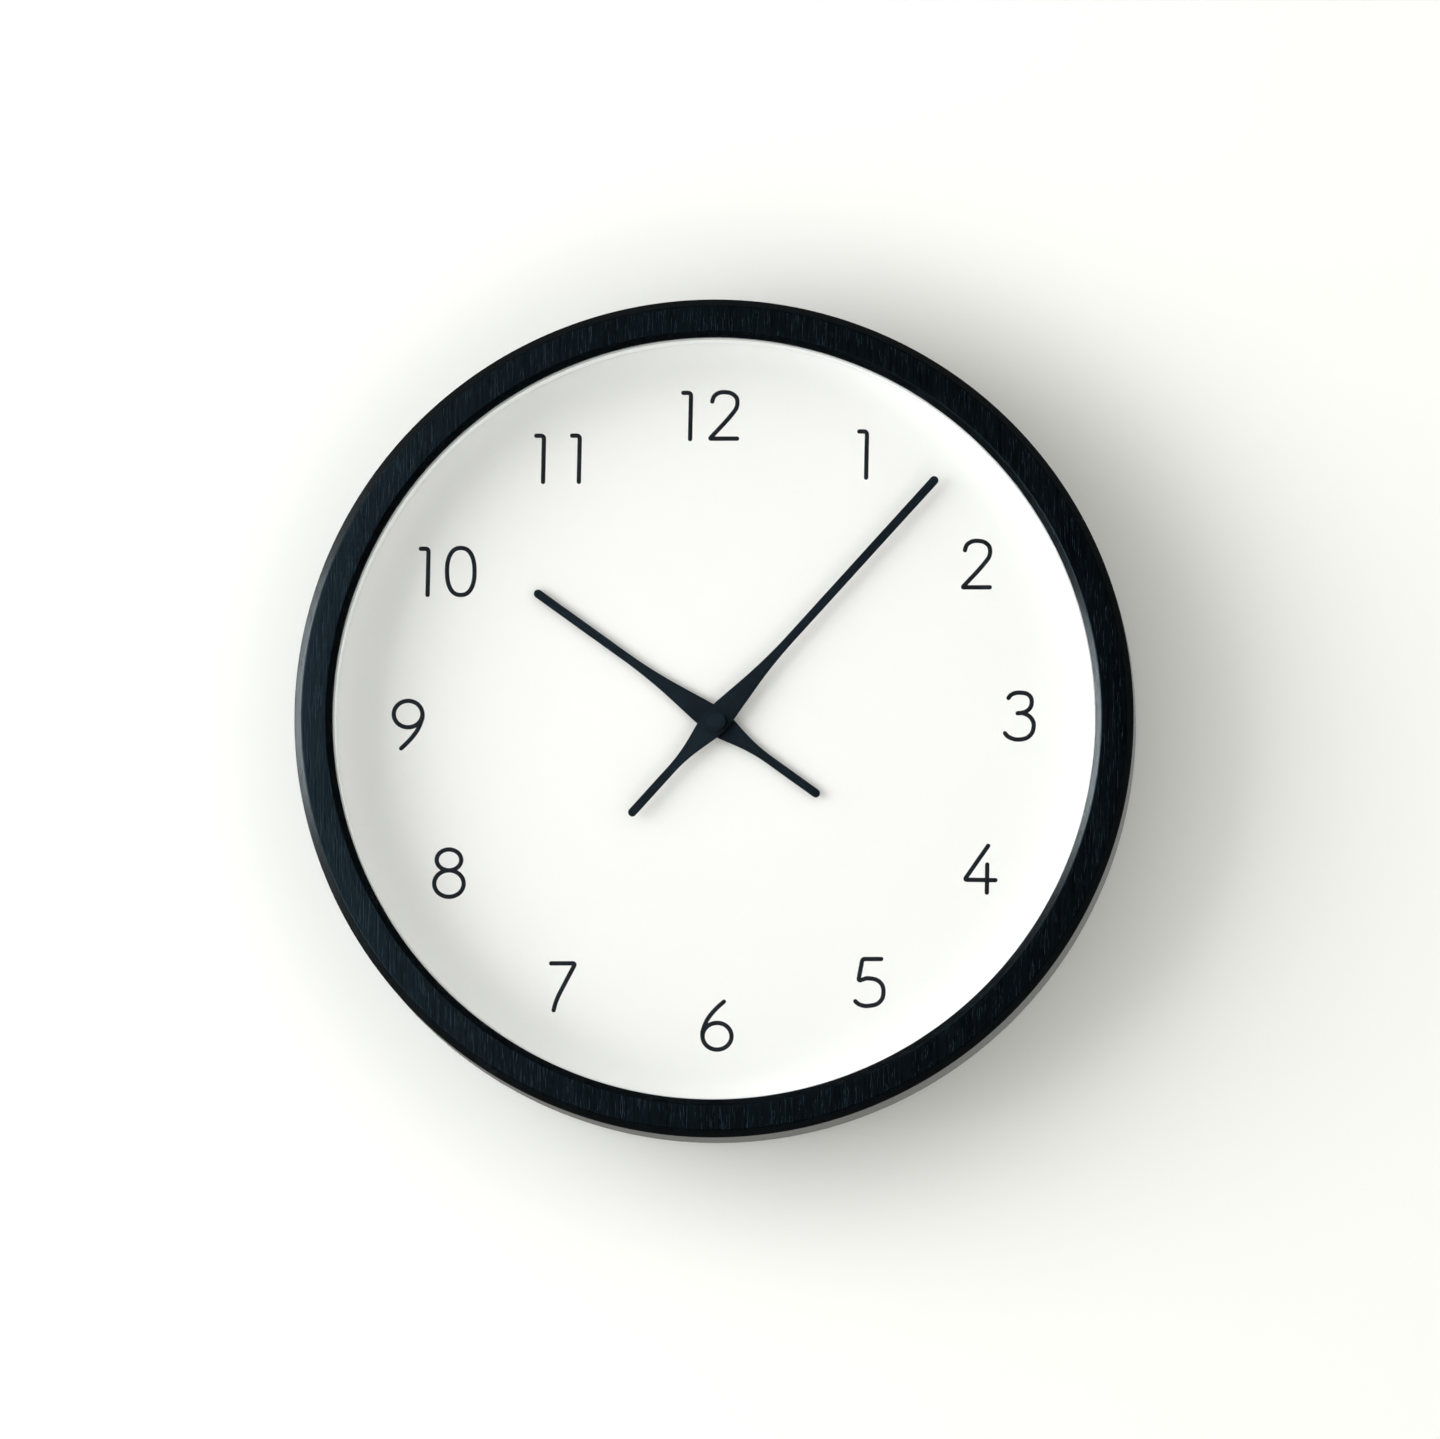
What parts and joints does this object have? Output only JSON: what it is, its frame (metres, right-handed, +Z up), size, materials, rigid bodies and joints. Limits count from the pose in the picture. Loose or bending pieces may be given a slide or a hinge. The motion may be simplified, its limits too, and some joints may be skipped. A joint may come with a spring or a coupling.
{
  "type": "wall clock",
  "caption": "Round wall clock with a dark stained wooden rim, glazed white dial, slim black hands and a battery quartz movement behind the dial.",
  "frame": {"origin": "the wall screw's place: the upper end of the hanger plate's slot, on the wall plane", "axes": "+Y points into the wall, so the dial faces -Y; +Z is up through twelve; +X is towards three"},
  "size_m": [0.304, 0.044, 0.304],
  "materials": {
    "rim_wood": "blue-black stained open-grain wood under a satin lacquer",
    "clear_glass": "clear float glass",
    "spacer_white": "smooth matt white",
    "dial_white": "white printed sheet, matt",
    "hardboard": "brown pressed fibre board",
    "zinc_steel": "zinc plated",
    "hand_black": "matt black lacquer",
    "case_black": "fine spark texture",
    "knob_grey": "satin",
    "gear_white": "natural acetal",
    "arbor_brass": "turned",
    "coil_copper": "enamelled copper wire",
    "magnet_ferrite": "ground ferrite",
    "circuit_green": "solder resist",
    "battery_jacket": "plain printed foil jacket"
  },
  "bodies": {
    "case": {"frame_ring": "rim_wood", "front_glass": "clear_glass", "spacer_ring": "spacer_white", "dial_plate": "dial_white", "backing_board": "hardboard", "retainer_tab_1": "zinc_steel", "retainer_tab_2": "zinc_steel", "retainer_tab_3": "zinc_steel", "retainer_tab_4": "zinc_steel", "retainer_tab_5": "zinc_steel", "retainer_tab_6": "zinc_steel", "hanger_plate": "zinc_steel", "hanger_screw_left": "zinc_steel", "hanger_screw_right": "zinc_steel", "movement_screw_left": "zinc_steel", "movement_screw_right": "zinc_steel", "movement_case": "case_black", "movement_cover": "case_black", "battery_contact_positive": "zinc_steel", "battery_contact_negative": "zinc_steel", "circuit_board": "circuit_green", "controller_chip": "case_black", "quartz_crystal": "zinc_steel", "stator_plate": "zinc_steel", "coil_core": "zinc_steel", "coil_bobbin": "spacer_white", "coil_winding": "coil_copper", "stator_screw_1": "zinc_steel", "stator_screw_2": "zinc_steel", "train_bridge": "arbor_brass", "bridge_screw_1": "zinc_steel", "bridge_screw_2": "zinc_steel"},
    "battery": {"battery": "battery_jacket"},
    "hour_hand": {"hour_wheel": "gear_white", "hour_hand": "hand_black"},
    "minute_hand": {"minute_arbor": "arbor_brass", "minute_hand": "hand_black", "hand_cap": "hand_black"},
    "motion_wheel": {"motion_wheel": "gear_white"},
    "setting_knob": {"setting_knob": "knob_grey"},
    "rotor": {"rotor_magnet": "magnet_ferrite", "rotor_pinion": "gear_white"},
    "fifth_wheel": {"fifth_wheel": "gear_white"},
    "fourth_wheel": {"fourth_wheel": "gear_white"},
    "third_wheel": {"third_wheel": "gear_white"},
    "centre_wheel": {"centre_wheel": "gear_white"}
  },
  "joints": [
    {"name": "minute_hand_turn", "type": "hinge", "parent": "case", "child": "minute_hand", "pos_m": [0, -0.01, -0.138], "axis": [0, 1, 0], "continuous": true},
    {"name": "hour_hand_turn", "type": "hinge", "parent": "case", "child": "hour_hand", "pos_m": [0, -0.01, -0.138], "axis": [0, 1, 0], "continuous": true},
    {"name": "motion_wheel_turn", "type": "hinge", "parent": "case", "child": "motion_wheel", "pos_m": [-0.0084, -0.01, -0.138], "axis": [0, 1, 0], "continuous": true},
    {"name": "setting_knob_turn", "type": "hinge", "parent": "case", "child": "setting_knob", "pos_m": [-0.01567, -0.01, -0.1338], "axis": [0, 1, 0], "continuous": true},
    {"name": "fourth_wheel_turn", "type": "hinge", "parent": "case", "child": "fourth_wheel", "pos_m": [0.00541, -0.01, -0.12449], "axis": [0, 1, 0], "continuous": true},
    {"name": "fifth_wheel_turn", "type": "hinge", "parent": "case", "child": "fifth_wheel", "pos_m": [0.01061, -0.01, -0.12149], "axis": [0, 1, 0], "continuous": true},
    {"name": "rotor_turn", "type": "hinge", "parent": "case", "child": "rotor", "pos_m": [0.01432, -0.01, -0.1252], "axis": [0, 1, 0], "continuous": true},
    {"name": "third_wheel_turn", "type": "hinge", "parent": "case", "child": "third_wheel", "pos_m": [0, -0.01, -0.1299], "axis": [0, 1, 0], "continuous": true},
    {"name": "centre_wheel_turn", "type": "hinge", "parent": "case", "child": "centre_wheel", "pos_m": [0, -0.01, -0.138], "axis": [0, 1, 0], "continuous": true},
    {"name": "battery_lift", "type": "slide", "parent": "case", "child": "battery", "axis": [0, 1, 0], "range_m": [0, 0.02]}
  ],
  "couplings": [
    {"joint": "hour_hand_turn", "follows": "minute_hand_turn", "ratio": 0.083333},
    {"joint": "motion_wheel_turn", "follows": "minute_hand_turn", "ratio": -0.33333},
    {"joint": "setting_knob_turn", "follows": "minute_hand_turn", "ratio": 1},
    {"joint": "fifth_wheel_turn", "follows": "fourth_wheel_turn", "ratio": -5},
    {"joint": "rotor_turn", "follows": "fourth_wheel_turn", "ratio": 30},
    {"joint": "third_wheel_turn", "follows": "fourth_wheel_turn", "ratio": -0.13333},
    {"joint": "centre_wheel_turn", "follows": "fourth_wheel_turn", "ratio": 0.016667}
  ]
}
